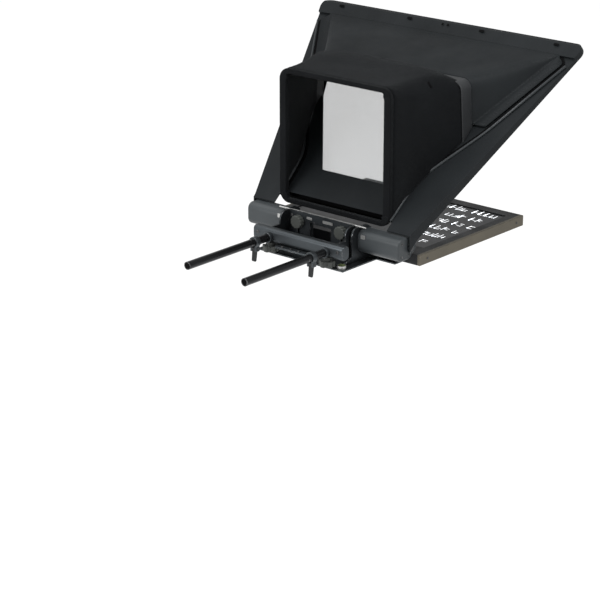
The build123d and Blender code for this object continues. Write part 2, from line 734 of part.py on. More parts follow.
def section_plane(y):
    """Upright plane across the tunnel, x to the right and z up."""
    return Plane(origin=(0, y, 0), x_dir=(1, 0, 0), z_dir=(0, -1, 0))


def collar_outline(inset=0.0):
    neck_x, _, neck_z = FUNNEL_NECK
    foot_z = 150.0
    flare = (FUNNEL_FOOT[0] - neck_x) / (neck_z - FUNNEL_FOOT[2])
    return [(neck_x + flare * (neck_z - foot_z) - inset, foot_z), (neck_x - inset, neck_z - inset)]


def tunnel_section(half_x, z0, z1, radius):
    with Locations((0, (z0 + z1) / 2)):
        RectangleRounded(2 * half_x, z1 - z0, radius)


def make_collar():
    depth = FUNNEL_NECK[1] - COLLAR_Y0 - 0.2
    with BuildPart() as collar:
        with BuildSketch(section_plane(COLLAR_Y0)) as profile:
            with BuildLine():
                Polyline(*mirrored(collar_outline()), close=True)
            make_face()
            fillet(profile.vertices().group_by(Axis.Z)[-1], 24)
        extrude(amount=-depth)
        with BuildSketch(section_plane(COLLAR_Y0)) as inner:
            with BuildLine():
                Polyline(*mirrored(collar_outline(SKIN)), close=True)
            make_face()
            fillet(inner.vertices().group_by(Axis.Z)[-1], 21)
        extrude(amount=-depth, mode=Mode.SUBTRACT)
        split(bisect_by=above_skin(0.2), keep=Keep.TOP)
    keep("collar", collar)


def make_shroud():
    y0, y1 = RIM_Y0 + RIM_T + 0.1, COLLAR_Y0 - 0.1
    with BuildPart() as shroud:
        for inset, mode in ((0, Mode.ADD), (FABRIC_T, Mode.SUBTRACT)):
            with BuildSketch(section_plane(y0)):
                tunnel_section(RIM_X - inset, RIM_Z0 + inset, RIM_Z1 - inset, RIM_R - inset)
            with BuildSketch(section_plane(y1)):
                tunnel_section(222 - inset, 150 + inset, 357 - inset, RIM_R - inset)
            loft(mode=mode)
        split(bisect_by=above_skin(0.5), keep=Keep.TOP)
    keep("fabric_shroud", shroud)


def make_rim():
    with BuildPart() as rim:
        with BuildSketch(section_plane(RIM_Y0)):
            tunnel_section(RIM_X, RIM_Z0, RIM_Z1, RIM_R)
        extrude(amount=-RIM_T)
        with BuildSketch(section_plane(RIM_Y0)):
            tunnel_section(RIM_X - RIM_BAND, RIM_Z0 + 12, RIM_Z1 - 12, RIM_R)
        extrude(amount=-RIM_T, mode=Mode.SUBTRACT)
    keep("shroud_rim", rim)


def make_hood_arm(name, side):
    x0, x1 = HOUSING_X1 + 1.5, HOOD_FOOT_X - SKIN - AIR
    with BuildPart() as arm:
        with BuildSketch(side_plane(side * x0)):
            with BuildLine():
                Polyline(
                    hood_yz(0, HOOD_N0), hood_yz(58, HOOD_N0), hood_yz(58, 3), hood_yz(120, 3),
                    hood_yz(120, 14), hood_yz(0, 16), close=True,
                )
            make_face()
            with Locations((HINGE_Y, HINGE_Z + 3)):
                Circle(13)
        extrude(amount=side * (x1 - x0))
        with BuildSketch(side_plane(side * x0, HINGE_Y, HINGE_Z)):
            Circle(SHAFT_D / 2)
        extrude(amount=side * (x1 - x0), mode=Mode.SUBTRACT)
    keep(name, arm)


def make_hinge_shaft(name, side):
    x0 = CHEEK_X - 3.0
    x1 = HOOD_FOOT_X - SKIN - AIR
    with BuildPart() as shaft:
        with BuildSketch(side_plane(side * x0, HINGE_Y, HINGE_Z)):
            Circle(SHAFT_D / 2)
        extrude(amount=side * (x1 - x0))
    keep(name, shaft)


def make_lip_screws():
    with BuildPart() as screws:
        for x in (-326, -109.5, 109.5, 326):
            with BuildSketch(hood_plane.offset(RAIL_TOP_N)):
                with Locations((x, 592)):
                    Circle(3.4)
            extrude(amount=1.2)
    keep("lip_screws", screws)


# ================================================================ build
make_rod("left_rod", -ROD_X)
make_rod("right_rod", ROD_X)
make_rod_plugs()
make_bridge()
make_beam()
for side_name, side_sign in (("left", -1), ("right", 1)):
    make_rod_clamp(f"{side_name}_rod_clamp", side_sign * ROD_X)
    make_clamp_lever(f"{side_name}_clamp_lever", side_sign * ROD_X)
    make_hand_knob(f"{side_name}_hand_knob", side_sign * ROD_X)
    make_slide_arm(f"{side_name}_slide_arm", side_sign)
    make_cheek(f"{side_name}_cheek", side_sign)
    make_housing(f"{side_name}_hinge_housing", side_sign)
    make_lock_knob(f"{side_name}_lock_knob", side_sign * LOCK_X)
    make_lock_stud(f"{side_name}_lock_stud", side_sign * LOCK_X)
    make_hood_arm(f"{side_name}_hood_arm", side_sign)
    make_hinge_shaft(f"{side_name}_hinge_shaft", side_sign)
make_lever_pins()
make_rod_collars()
make_slide_plate()
make_bridge_screws()
make_base_plate()
make_lift_plate()
make_hinge_bushes()
make_friction_discs()
make_level()
make_back_cover_plate()
make_side_rail("left_side_rail", -1)
make_side_rail("right_side_rail", 1)
make_cross_rail("monitor_near_rail", MON_Y0)
make_cross_rail("monitor_far_rail", MON_Y1 - RAIL_W)
make_bezel()
make_lcd_panel()
make_board("scaler_board", SCALER_CENTRE, (150, 110), ((-30, 20), (20, -20)), (28, 28), 2.0)
make_board("power_board", SUPPLY_CENTRE, (110, 90), ((-20, 10), (20, -10)), (26, 20), 3.5)
make_board_spacers()
make_power_button()
make_rail_screws()
make_monitor_fixings()
make_hood_shell()
make_glass()
make_funnel()
make_collar()
make_shroud()
make_rim()
make_lip_screws()

os.makedirs("parts", exist_ok=True)
for part_name, piece in parts.items():
    export_step(piece, f"parts/{part_name}.step")
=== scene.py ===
"""Looks for the studio teleprompter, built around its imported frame."""
import json
import math
import random

import bmesh
import bpy
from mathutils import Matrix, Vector, noise


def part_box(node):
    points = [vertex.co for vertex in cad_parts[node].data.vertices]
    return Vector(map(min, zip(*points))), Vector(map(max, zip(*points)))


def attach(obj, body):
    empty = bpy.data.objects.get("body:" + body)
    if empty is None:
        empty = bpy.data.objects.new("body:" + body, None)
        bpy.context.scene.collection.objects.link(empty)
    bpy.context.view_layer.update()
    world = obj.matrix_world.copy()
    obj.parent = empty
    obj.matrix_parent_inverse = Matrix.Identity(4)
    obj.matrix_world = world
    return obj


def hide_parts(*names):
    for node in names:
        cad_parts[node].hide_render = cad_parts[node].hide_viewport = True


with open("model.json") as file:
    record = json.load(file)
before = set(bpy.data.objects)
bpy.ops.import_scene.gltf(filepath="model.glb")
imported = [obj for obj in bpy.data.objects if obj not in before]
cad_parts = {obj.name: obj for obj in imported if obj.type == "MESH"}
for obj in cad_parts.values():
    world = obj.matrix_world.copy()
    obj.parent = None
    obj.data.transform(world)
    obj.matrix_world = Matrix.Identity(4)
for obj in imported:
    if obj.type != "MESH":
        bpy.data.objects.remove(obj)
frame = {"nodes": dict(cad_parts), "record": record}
bpy.context.view_layer.update()
NODES = frame["nodes"]
MM = 0.001

# ---------------------------------------------------------------- camera
CAMERA_PLACE = (3.2187, -3.4480, 1.6200)
CAMERA_BACK = Vector((0.6147, -0.7136, 0.3360))
camera = bpy.data.objects.new("camera", bpy.data.cameras.new("camera"))
bpy.context.scene.collection.objects.link(camera)
camera.location = CAMERA_PLACE
camera.rotation_euler = (-CAMERA_BACK).to_track_quat("-Z", "Y").to_euler()
camera.data.sensor_width = 36.0
camera.data.lens = 134.22
camera.data.clip_end = 60.0
bpy.context.scene.camera = camera


# ---------------------------------------------------------------- materials
class Look:
    """A node material with a few helpers for texture chains in object space."""

    def __init__(self, name, colour, rough, metallic=0.0, specular=0.5):
        self.material = bpy.data.materials.new(name)
        self.material.use_nodes = True
        self.tree = self.material.node_tree
        self.shader = self.tree.nodes["Principled BSDF"]
        self.set("Base Color", (*colour, 1.0))
        self.set("Roughness", rough)
        self.set("Metallic", metallic)
        self.set("Specular IOR Level", specular)
        self.place = self.node("ShaderNodeTexCoord").outputs["Object"]
        self.bump_out = None

    def set(self, socket, value):
        self.shader.inputs[socket].default_value = value

    def node(self, kind, **settings):
        made = self.tree.nodes.new(kind)
        for key, value in settings.items():
            setattr(made, key, value)
        return made

    def link(self, source, target):
        self.tree.links.new(source, target)

    def noise(self, scale, detail=3.0, stretch=None):
        """Grey noise between 0 and 1; stretch scales each axis first."""
        made = self.node("ShaderNodeTexNoise")
        made.inputs["Scale"].default_value = scale
        made.inputs["Detail"].default_value = detail
        source = self.place
        if stretch:
            mapping = self.node("ShaderNodeMapping")
            mapping.inputs["Scale"].default_value = stretch
            self.link(source, mapping.inputs["Vector"])
            source = mapping.outputs["Vector"]
        self.link(source, made.inputs["Vector"])
        return made.outputs["Fac"]

    def ramp(self, source, low, high, out_low=0.0, out_high=1.0):
        made = self.node("ShaderNodeMapRange")
        ends = {"From Min": low, "From Max": high, "To Min": out_low, "To Max": out_high}
        for key, value in ends.items():
            made.inputs[key].default_value = value
        self.link(source, made.inputs["Value"])
        return made.outputs["Result"]

    def math(self, operation, *sources):
        made = self.node("ShaderNodeMath", operation=operation)
        for index, source in enumerate(sources):
            if isinstance(source, (int, float)):
                made.inputs[index].default_value = source
            else:
                self.link(source, made.inputs[index])
        return made.outputs["Value"]

    def mix(self, factor, first, second):
        """Colour between first and second; each is a colour or a socket."""
        made = self.node("ShaderNodeMix", data_type="RGBA")
        self.link(factor, made.inputs["Factor"])
        for socket, value in (("A", first), ("B", second)):
            target = [s for s in made.inputs if s.name == socket and s.type == "RGBA"][0]
            if isinstance(value, tuple):
                target.default_value = (*value, 1.0)
            else:
                self.link(value, target)
        return [s for s in made.outputs if s.type == "RGBA"][0]

    def paint(self, source):
        self.link(source, self.shader.inputs["Base Color"])

    def roughen(self, source):
        self.link(source, self.shader.inputs["Roughness"])

    def bump(self, height, distance, strength=1.0):
        made = self.node("ShaderNodeBump")
        made.inputs["Distance"].default_value = distance
        made.inputs["Strength"].default_value = strength
        self.link(height, made.inputs["Height"])
        if self.bump_out:
            self.link(self.bump_out, made.inputs["Normal"])
        self.bump_out = made.outputs["Normal"]
        self.link(self.bump_out, self.shader.inputs["Normal"])

    def edges(self, radius):
        """1 on sharp outside edges, 0 on flat faces."""
        bevel = self.node("ShaderNodeBevel", samples=4)
        bevel.inputs["Radius"].default_value = radius
        flat = self.node("ShaderNodeNewGeometry").outputs["Normal"]
        dot = self.node("ShaderNodeVectorMath", operation="DOT_PRODUCT")
        self.link(bevel.outputs["Normal"], dot.inputs[0])
        self.link(flat, dot.inputs[1])
        return self.ramp(dot.outputs["Value"], 0.985, 0.88)


def shade(colour, factor):
    return tuple(min(1.0, channel * factor) for channel in colour)


def moulded(name, colour, rough, grain=900.0, depth=0.00012, wear=1.6, specular=0.28):
    """Textured injection-moulded or vacuum-formed plastic with slight polish on its edges."""
    look = Look(name, colour, rough, specular=specular)
    cloud = look.noise(7.0, 4.0)
    speck = look.noise(grain, 2.0)
    tone = look.mix(look.ramp(cloud, 0.35, 0.65), shade(colour, 0.86), shade(colour, 1.14))
    tone = look.mix(look.ramp(speck, 0.58, 0.72), tone, shade(colour, 1.5))
    rub = look.math("MULTIPLY", look.edges(0.0012), look.ramp(look.noise(60.0, 4.0), 0.4, 0.65))
    look.paint(look.mix(rub, tone, shade(colour, wear)))
    smear = look.ramp(look.noise(18.0, 5.0), 0.3, 0.7, rough - 0.06, rough + 0.07)
    look.roughen(look.math("SUBTRACT", smear, look.math("MULTIPLY", rub, 0.12)))
    look.bump(speck, depth)
    look.bump(look.noise(25.0, 2.0), 0.0004, 0.25)
    return look.material


def metal(name, colour, rough, brushed=(1, 1, 1), wear=(0.45, 0.45, 0.45), metallic=0.85):
    """Anodised or painted alloy with a fine directional grain and bright rubbed edges."""
    look = Look(name, colour, rough, metallic=metallic)
    plain = brushed == (1, 1, 1)
    grain = look.noise(420.0, 3.0, brushed)
    cloud = look.noise(11.0, 4.0)
    tone = look.mix(look.ramp(cloud, 0.3, 0.7), shade(colour, 0.8), shade(colour, 1.2))
    tone = look.mix(look.ramp(grain, 0.35, 0.65), shade(colour, 0.85), tone)
    rub = look.math("MULTIPLY", look.edges(0.0009), look.ramp(look.noise(90.0, 4.0), 0.45, 0.6))
    look.paint(look.mix(rub, tone, wear))
    if plain:
        look.roughen(look.ramp(look.noise(23.0, 5.0), 0.3, 0.7, rough - 0.07, rough + 0.08))
    else:
        look.roughen(look.ramp(grain, 0.2, 0.8, rough - 0.05, rough + 0.1))
    look.bump(grain, 0.00006)
    return look.material


def woven(name, colour, thread, sheen=0.09):
    """Closely woven black cloth; the threads follow the piece's own UV in metres."""
    look = Look(name, colour, 0.9, specular=0.06)
    look.set("Sheen Weight", sheen)
    look.set("Sheen Roughness", 0.45)
    look.set("Sheen Tint", (0.62, 0.66, 0.68, 1.0))
    uv = look.node("ShaderNodeUVMap").outputs["UV"]
    split = look.node("ShaderNodeSeparateXYZ")
    look.link(uv, split.inputs["Vector"])
    wave = 2 * math.pi / thread
    warp = look.math("SINE", look.math("MULTIPLY", split.outputs["X"], wave))
    weft = look.math("SINE", look.math("MULTIPLY", split.outputs["Y"], wave))
    crossing = look.math("MULTIPLY", warp, weft)
    height = look.math("ADD", crossing, look.math("MULTIPLY", look.noise(1400.0, 2.0), 0.8))
    tone = look.mix(look.ramp(crossing, -1.0, 1.0), shade(colour, 0.7), shade(colour, 1.35))
    tone = look.mix(look.ramp(look.noise(9.0, 5.0), 0.35, 0.7), tone, shade(colour, 1.5))
    lint = look.ramp(look.noise(260.0, 2.0), 0.7, 0.78, 0.0, 0.35)
    look.paint(look.mix(lint, tone, shade(colour, 3.0)))
    look.bump(height, 0.00018)
    look.bump(look.noise(30.0, 4.0), 0.0012, 0.35)
    return look.material


def clear_glass(name):
    """Part-mirrored glass: mostly clear, about a third reflected."""
    look = Look(name, (0.72, 0.76, 0.78), 0.02, metallic=0.75)
    look.set("Alpha", 0.3)
    dust = look.ramp(look.noise(35.0, 6.0), 0.45, 0.8, 0.015, 0.07)
    look.roughen(dust)
    look.paint(look.mix(look.noise(4.0, 2.0), (0.68, 0.73, 0.76), (0.76, 0.79, 0.80)))
    return look.material


def glowing(name, colour, strength):
    look = Look(name, colour, 0.4)
    look.set("Emission Color", (*colour, 1.0))
    look.set("Emission Strength", strength)
    tone = look.noise(700.0, 1.0)
    look.paint(look.mix(look.ramp(tone, 0.3, 0.7), shade(colour, 0.93), colour))
    return look.material


PIXEL_PITCH = 0.0009


def dark_screen(name):
    """Black LCD face with a faint pixel grid and a glossy front."""
    look = Look(name, (0.006, 0.007, 0.009), 0.3, specular=0.22)
    split = look.node("ShaderNodeSeparateXYZ")
    look.link(look.place, split.inputs["Vector"])
    wave = 2 * math.pi / PIXEL_PITCH
    grid = look.math(
        "MULTIPLY",
        look.math("SINE", look.math("MULTIPLY", split.outputs["X"], wave)),
        look.math("SINE", look.math("MULTIPLY", split.outputs["Y"], wave)),
    )
    look.paint(look.mix(look.ramp(grid, -1.0, 1.0), (0.004, 0.005, 0.007), (0.012, 0.014, 0.017)))
    look.roughen(look.ramp(look.noise(30.0, 4.0), 0.3, 0.7, 0.26, 0.36))
    return look.material


def circuit(name):
    look = Look(name, (0.01, 0.12, 0.05), 0.35)
    bricks = look.node("ShaderNodeTexBrick")
    bricks.inputs["Scale"].default_value = 160.0
    tracks = {"Color1": (0.01, 0.13, 0.05), "Color2": (0.01, 0.09, 0.04), "Mortar": (0.35, 0.27, 0.08)}
    for socket, colour in tracks.items():
        bricks.inputs[socket].default_value = (*colour, 1.0)
    look.link(look.place, bricks.inputs["Vector"])
    look.paint(bricks.outputs["Color"])
    look.bump(look.noise(500.0, 2.0), 0.0002)
    return look.material


LOOKS = {
    "hood_plastic": moulded("hood_plastic", (0.0098, 0.0115, 0.0127), 0.58, specular=0.10),
    # The hood's plastic made three times lighter and glossier: painted highlight along the tops of the skin
    # beads.
    "bead_highlight_plastic": moulded("bead_highlight_plastic", (0.0300, 0.0335, 0.0360), 0.42, specular=0.3),
    "collar_plastic": moulded("collar_plastic", (0.0230, 0.0245, 0.0260), 0.50, specular=0.2),
    "fabric": woven("shroud_fabric", (0.0030, 0.0034, 0.0040), 0.0011, 0.075),
    "rim_fabric": woven("rim_fabric", (0.0036, 0.0040, 0.0046), 0.0009, 0.06),
    "beam_glass": clear_glass("beam_splitter_glass"),
    "black_alloy": metal("black_alloy", (0.036, 0.041, 0.045), 0.38),
    "beam_alloy": metal("beam_alloy", (0.060, 0.068, 0.074), 0.38, (1, 30, 30)),
    "housing_plastic": moulded("housing_plastic", (0.034, 0.039, 0.042), 0.42, grain=1300.0, specular=0.3),
    "rod_steel": metal("rod_steel", (0.026, 0.027, 0.029), 0.26, (30, 1, 30)),
    "knob_plastic": moulded("knob_plastic", (0.052, 0.056, 0.052), 0.40, grain=1500.0),
    "lever_plastic": moulded("lever_plastic", (0.010, 0.011, 0.012), 0.35),
    "bronze_alloy": metal("bronze_alloy", (0.104, 0.092, 0.068), 0.48, (30, 1, 30), (0.4, 0.35, 0.28), 0.5),
    "bezel_plastic": moulded("bezel_plastic", (0.010, 0.011, 0.012), 0.5, grain=1500.0, specular=0.2),
    "screen": dark_screen("lcd_screen"),
    "bare_alloy": metal("bare_alloy", (0.50, 0.50, 0.49), 0.28, (1, 30, 30), (0.7, 0.7, 0.7)),
    "screw_steel": metal("screw_steel", (0.07, 0.07, 0.072), 0.36),
    "bronze_bush": metal("bronze_bush", (0.42, 0.27, 0.12), 0.35, (1, 30, 30)),
    "circuit_board": circuit("circuit_board"),
    "level_green": moulded("level_green", (0.13, 0.16, 0.07), 0.14, grain=300.0),
    # Kept near black partly for the strip along the hood's seam, where this colour is painted shade in the
    # gap.
    "rubber_black": moulded("rubber_black", (0.0025, 0.0025, 0.0028), 0.75, grain=600.0, specular=0.04),
}
LOOKS["prompt_light"] = glowing("prompt_light", (0.93, 0.95, 0.97), 1.0)
SLOT_OF = {row["node"]: row["material_slot"] for row in frame["record"]["subparts"]}
for name, node in NODES.items():
    node.data.materials.clear()
    node.data.materials.append(LOOKS[SLOT_OF[name]])


ROUNDED = {
    "hood_shell": 0.8, "collar": 1.2, "cross_beam": 0.8, "rod_bridge": 0.8,
    "left_rod_clamp": 0.7, "right_rod_clamp": 0.7, "left_slide_arm": 0.8, "right_slide_arm": 0.8,
    "left_cheek": 0.8, "right_cheek": 0.8, "slide_plate": 0.6, "lift_plate": 0.6, "base_plate": 0.5,
    "left_lock_knob": 0.6, "right_lock_knob": 0.6, "left_hand_knob": 0.7, "right_hand_knob": 0.7,
    "left_clamp_lever": 0.8, "right_clamp_lever": 0.8, "left_side_rail": 0.5, "right_side_rail": 0.5,
    "monitor_near_rail": 0.5, "monitor_far_rail": 0.5, "left_hinge_housing": 0.6, "right_hinge_housing": 0.6,
    "lift_strip": 0.4, "rod_collars": 0.6,
}
for name, radius in ROUNDED.items():
    NODES[name].modifiers.new("weld", "WELD").merge_threshold = 0.00001
    bevel = NODES[name].modifiers.new("round", "BEVEL")
    bevel.width = radius * MM
    bevel.segments = 3
    bevel.limit_method = "ANGLE"
    bevel.angle_limit = math.radians(32)
    bevel.harden_normals = False
    bevel.use_clamp_overlap = True


# ---------------------------------------------------------------- mesh helpers
def add_piece(name, verts, faces, slot, body, smooth=True, uvs=None, look=None):
    """A new visible piece in metres that rides on a CAD body."""
    mesh = bpy.data.meshes.new(name)
    mesh.from_pydata(verts, [], faces)
    if uvs:
        layer = mesh.uv_layers.new(name="UVMap")
        for loop in mesh.loops:
            layer.data[loop.index].uv = uvs[loop.vertex_index]
    mesh.validate()
    mesh.polygons.foreach_set("use_smooth", [smooth] * len(mesh.polygons))
    made = bpy.data.objects.new(name, mesh)
    bpy.context.scene.collection.objects.link(made)
    made.data.materials.append(LOOKS[look or slot])
    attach(made, body)
    return made


SIDES = ((-1, "left"), (1, "right"))


def smoothstep(t):
    t = max(0.0, min(1.0, t))
    return t * t * (3 - 2 * t)


# ---------------------------------------------------------------- lens shroud
SHROUD_Y0, SHROUD_Y1 = 0.4140, 0.6150
RIM_HALF, RIM_TOP, RIM_FOOT = 0.168, 0.371, 0.042
COLLAR_HALF, COLLAR_TOP = 0.222, 0.357
SKIN_Y, SKIN_Z, SKIN_SLOPE = 0.395, 0.042, 0.8567    # foot and slope of the hood's skin
RIM_RADIUS, RIM_Y, RIM_DEPTH, RIM_PAD = 0.028, 0.408, 0.012, 0.0105
HEM_TUCK = 0.0045          # how far the cloth starts inside the hem
FOOT_PINCH, CROWN_RISE, SIDE_FLARE = 0.010, 0.027, 0.064
RIPPLE, PUCKER, PUCKER_PITCH = 0.0016, 0.0007, 0.019
TUNNEL_MIDDLE_Z = 0.2
CLOTH_T = 0.0016


def skin_z(y):
    return SKIN_Z + SKIN_SLOPE * (y - SKIN_Y)


def shroud_outline(v):
    """Half-width, top, foot and corner radius of the cloth tunnel at depth v, from hem to collar."""
    y = SHROUD_Y0 + (SHROUD_Y1 - SHROUD_Y0) * v
    tuck = HEM_TUCK * (1 - smoothstep(v * 22))
    half = RIM_HALF - 0.001 + (COLLAR_HALF - 0.0012 - RIM_HALF) * v ** 1.05 - tuck
    top = RIM_TOP - 0.001 + (COLLAR_TOP + 0.0012 - RIM_TOP) * v ** 1.6 - tuck
    radius = RIM_RADIUS - 0.006 * v + 0.014 * math.sin(math.pi * v)
    return y, half, top, skin_z(y) + 0.001, radius


def shroud_section(v, count):
    """Points over the cloth tunnel from its left foot to its right foot at depth v."""
    y, half, top, foot, radius = shroud_outline(v)
    pinch = FOOT_PINCH * math.sin(math.pi * min(1.0, v * 1.1))
    crown = CROWN_RISE * math.sin(math.pi * v ** 2.6) ** 0.75
    flare = SIDE_FLARE * smoothstep(v * 1.2 - 0.2)
    corner = radius * math.pi / 2
    upright = top - radius - foot
    flat = 2 * (half - radius)
    total = 2 * upright + 2 * corner + flat
    points = []
    for index in range(count + 1):
        d = total * index / count
        flip = -1.0
        if d > total / 2:
            d, flip = total - d, 1.0
        if d < upright:
            x, z = half, foot + d
        elif d < upright + corner:
            a = (d - upright) / radius
            x, z = half - radius + radius * math.cos(a), top - radius + radius * math.sin(a)
        else:
            x, z = half - radius - (d - upright - corner), top
        rise = (z - foot) / max(1e-6, top - foot)
        x -= pinch * (1 - smoothstep(rise * 1.3)) ** 1.5
        x += flare * (top - z)
        across = 1 - min(1.0, abs(x) / half) ** 4.5
        z += crown * across * smoothstep((rise - 0.6) / 0.4)
        points.append(Vector((flip * x, y, z)))
    return points, total


def grid_faces(rows, wide):
    """Quads joining rows + 1 runs of wide points each."""
    faces = []
    for row in range(rows):
        for column in range(wide - 1):
            a = row * wide + column
            faces.append((a, a + wide, a + wide + 1, a + 1))
    return faces


def thicken(piece, thickness):
    """Give a single-walled piece its thickness on the inner side."""
    solid = piece.modifiers.new("thickness", "SOLIDIFY")
    solid.thickness = thickness
    solid.offset = -1.0


def make_shroud():
    rows, columns = 56, 220
    verts, uvs = [], []
    for row in range(rows + 1):
        v = row / rows
        section, total = shroud_section(v, columns)
        for index, point in enumerate(section):
            u = total * index / columns
            ripple = noise.noise(Vector((point.x * 9, point.y * 22, point.z * 9))) * RIPPLE
            pucker = PUCKER * math.sin(u * 2 * math.pi / PUCKER_PITCH) * (1 - v) ** 6
            away = Vector((point.x, 0, point.z - TUNNEL_MIDDLE_Z)).normalized()
            moved = point + away * (ripple * math.sin(math.pi * v) + pucker)
            verts.append(tuple(moved))
            uvs.append((u - total / 2, v * (SHROUD_Y1 - SHROUD_Y0)))
    cloth = add_piece("shroud_cloth", verts, grid_faces(rows, columns + 1), "fabric", "hood", uvs=uvs)
    thicken(cloth, CLOTH_T)
    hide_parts("fabric_shroud")
    return cloth


def rounded_ring(half, low, high, radius, steps):
    """Points round an upright rounded rectangle, with the outward direction at each."""
    corners = (
        (half - radius, high - radius, 0), (-half + radius, high - radius, 90),
        (-half + radius, low + radius, 180), (half - radius, low + radius, 270),
    )
    ring = []
    for cx, cz, start in corners:
        for step in range(steps + 1):
            a = math.radians(start + 90 * step / steps)
            point = Vector((cx + radius * math.cos(a), 0, cz + radius * math.sin(a)))
            ring.append((point, Vector((math.cos(a), 0, math.sin(a)))))
    return ring


def dense_ring(ring, pitch):
    """The ring's points joined by straight runs of about one pitch."""
    points = []
    for (p, n), (q, m) in zip(ring, ring[1:] + ring[:1]):
        parts = max(1, round((q - p).length / pitch))
        for step in range(parts):
            t = step / parts
            points.append((p.lerp(q, t), n.lerp(m, t).normalized()))
    return points


def make_rim():
    """Padded hem round the mouth of the shroud: a band that rolls over at the front and back."""
    pitch, profile_count = 0.006, 28
    outer = dense_ring(rounded_ring(RIM_HALF, RIM_FOOT, RIM_TOP, RIM_RADIUS, 14), pitch)
    profile = []
    for index in range(profile_count):
        a = 2 * math.pi * index / profile_count
        c, s = math.cos(a), math.sin(a)
        away = -RIM_PAD + RIM_PAD * math.copysign(abs(c) ** 0.28, c)
        back = RIM_DEPTH / 2 + RIM_DEPTH / 2 * math.copysign(abs(s) ** 0.35, s)
        profile.append((away, back))
    verts, faces, uvs = [], [], []
    around = 0.0
    for point, out in outer:
        narrow = 1.0 if abs(out.x) > 0.5 else 1.0 - 0.42 * abs(out.z) ** 4
        for k, (away, back) in enumerate(profile):
            p = point + out * away * narrow
            verts.append((p.x, RIM_Y + back, p.z))
            uvs.append((around, k / profile_count * 0.06))
        around += pitch
    count, wide = len(outer), len(profile)
    for i in range(count):
        ahead = (i + 1) % count
        for k in range(wide):
            n = (k + 1) % wide
            faces.append((i * wide + k, i * wide + n, ahead * wide + n, ahead * wide + k))
    rim = add_piece("rim_hem", verts, faces, "rim_fabric", "hood", uvs=uvs)
    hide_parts("shroud_rim")
    return rim


cloth = make_shroud()
rim = make_rim()


# ---------------------------------------------------------------- funnel
NECK = (0.2235, 0.6400, 0.3612)
TOP = (0.3440, 0.8125, 0.4043)
FLANGE_RISE = 0.0032
FLANGE_Y, FLANGE_X, FLANGE_FLARE = 0.634, 0.2640, 0.632    # its outer edge in plan
FLANGE_END_Y, FLANGE_END_RUN, FLANGE_END_CUT = 0.790, 0.0235, 0.030
FUNNEL_SPLAY, FUNNEL_BULGE, FUNNEL_T = 0.0066, 0.0035, 0.0026
NECK_CORNER, TOP_CORNER, FOOT_CORNER = 0.026, 0.030, 0.007


def rounded_run(points, radii, steps):
    """The run of (x, z) points with each inner corner turned on its own radius."""
    run = [Vector(points[0])]
    for index in range(1, len(points) - 1):
        before, corner, after = (Vector(points[index + k]) for k in (-1, 0, 1))
        a_length, b_length = (before - corner).length, (after - corner).length
        reach = min(radii[index - 1], a_length * 0.48, b_length * 0.48)
        a = corner + (before - corner).normalized() * reach
        b = corner + (after - corner).normalized() * reach
        for step in range(steps + 1):
            t = step / steps
            run.append(a.lerp(corner, t).lerp(corner.lerp(b, t), t))
    run.append(Vector(points[-1]))
    return run


def funnel_section(v):
    """Right half of the funnel across its depth v, from the flange's edge to the middle."""
    y = NECK[1] + (TOP[1] - NECK[1]) * v
    skin = skin_z(y) + FLANGE_RISE
    ridge_x = NECK[0] + (TOP[0] - NECK[0]) * v
    ridge_z = NECK[2] + (TOP[2] - NECK[2]) * v
    foot_x = ridge_x + FUNNEL_SPLAY * (1 - v)
    edge = FLANGE_X + FLANGE_FLARE * (y - FLANGE_Y)
    edge -= FLANGE_END_CUT * smoothstep((y - FLANGE_END_Y) / FLANGE_END_RUN) ** 2
    edge = max(edge, foot_x + 0.004)
    corner = NECK_CORNER * (1 - v) + TOP_CORNER * v
    outline = [(edge, skin), (foot_x, skin), (ridge_x, ridge_z), (0.0, ridge_z)]
    run = rounded_run(outline, [FOOT_CORNER, corner], 8)
    flat_steps = 16
    dense = run[:-1] + [run[-2].lerp(run[-1], step / flat_steps) for step in range(1, flat_steps + 1)]
    bulge = FUNNEL_BULGE * math.sin(math.pi * v)
    section = []
    for x, z in dense:
        share = 1 - min(1.0, abs(x) / ridge_x) ** 2
        section.append((x, y, z + bulge * share * (z > skin + 0.01)))
    return section


def tucked(section, forward, inward):
    """The section moved along Y and drawn in towards the tunnel's middle, as a hidden lip."""
    middle = Vector((0.0, 0.0, TUNNEL_MIDDLE_Z))
    lip = []
    for x, y, z in section:
        way = (middle - Vector((x, 0.0, z))).normalized()
        lip.append((x + way.x * inward, y + forward, z + way.z * inward))
    return lip


def make_funnel():
    rows = 40
    halves = [funnel_section(row / rows) for row in range(rows + 1)]
    halves.insert(0, tucked(halves[0], -0.0035, 0.0045))
    halves.append(tucked(halves[-1], 0.0050, 0.0030))
    verts = []
    for half in halves:
        verts.extend(half)
        verts.extend((-x, y, z) for x, y, z in reversed(half[:-1]))
    wide = len(verts) // len(halves)
    faces = [tuple(reversed(face)) for face in grid_faces(len(halves) - 1, wide)]
    funnel = add_piece("funnel_cover", verts, faces, "hood_plastic", "hood")
    thicken(funnel, FUNNEL_T)
    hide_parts("back_cover")


make_funnel()


# ---------------------------------------------------------------- trims on the hood
SKIN_UP = Vector((0, -SKIN_SLOPE, 1)).normalized()


def on_skin(x, y):
    return Vector((x, y, skin_z(y)))


def eased(points, radius, steps=7):
    """The open path with each corner rounded off."""
    path = [points[0]]
    for before, corner, after in zip(points, points[1:], points[2:]):
        reach = min(radius, (corner - before).length * 0.45, (after - corner).length * 0.45)
        a = corner + (before - corner).normalized() * reach
        b = corner + (after - corner).normalized() * reach
        for step in range(steps + 1):
            t = step / steps
            path.append(a.lerp(corner, t).lerp(corner.lerp(b, t), t))
    path.append(points[-1])
    return path


